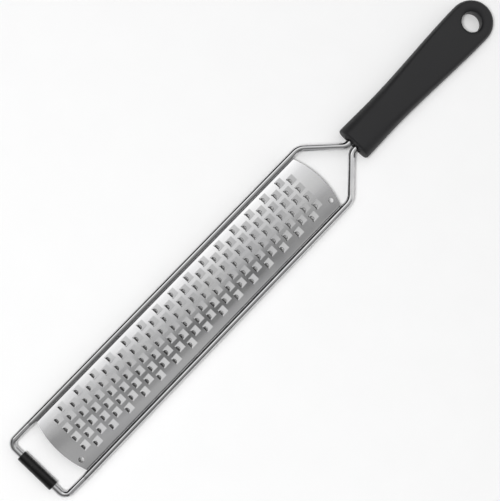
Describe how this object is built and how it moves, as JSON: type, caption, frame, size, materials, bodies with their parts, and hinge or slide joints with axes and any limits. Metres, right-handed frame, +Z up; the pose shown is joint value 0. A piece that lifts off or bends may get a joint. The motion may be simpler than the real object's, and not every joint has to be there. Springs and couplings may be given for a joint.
{
  "type": "hand grater",
  "caption": "Paddle-shaped hand grater: a toothed steel blade in a bent wire frame, with a black handle that has a hanging hole and a rubber foot on the crossbar.",
  "frame": {"origin": "middle of the length and width, on the surface that the tool lies on", "axes": "+X along the tool from the foot to the handle, +Y across, +Z up from the toothed face"},
  "size_m": [0.3894, 0.048, 0.0135],
  "materials": {
    "bright_wire": "polished",
    "satin_sheet": "satin",
    "black_rubber": "smooth",
    "black_plastic": "matt",
    "soft_grip": "soft-touch matt"
  },
  "bodies": {
    "root": {"wire_frame": "bright_wire", "grater_blade": "satin_sheet", "foot_sleeve": "black_rubber", "handle_core": "black_plastic", "handle_grip": "soft_grip"}
  },
  "joints": []
}
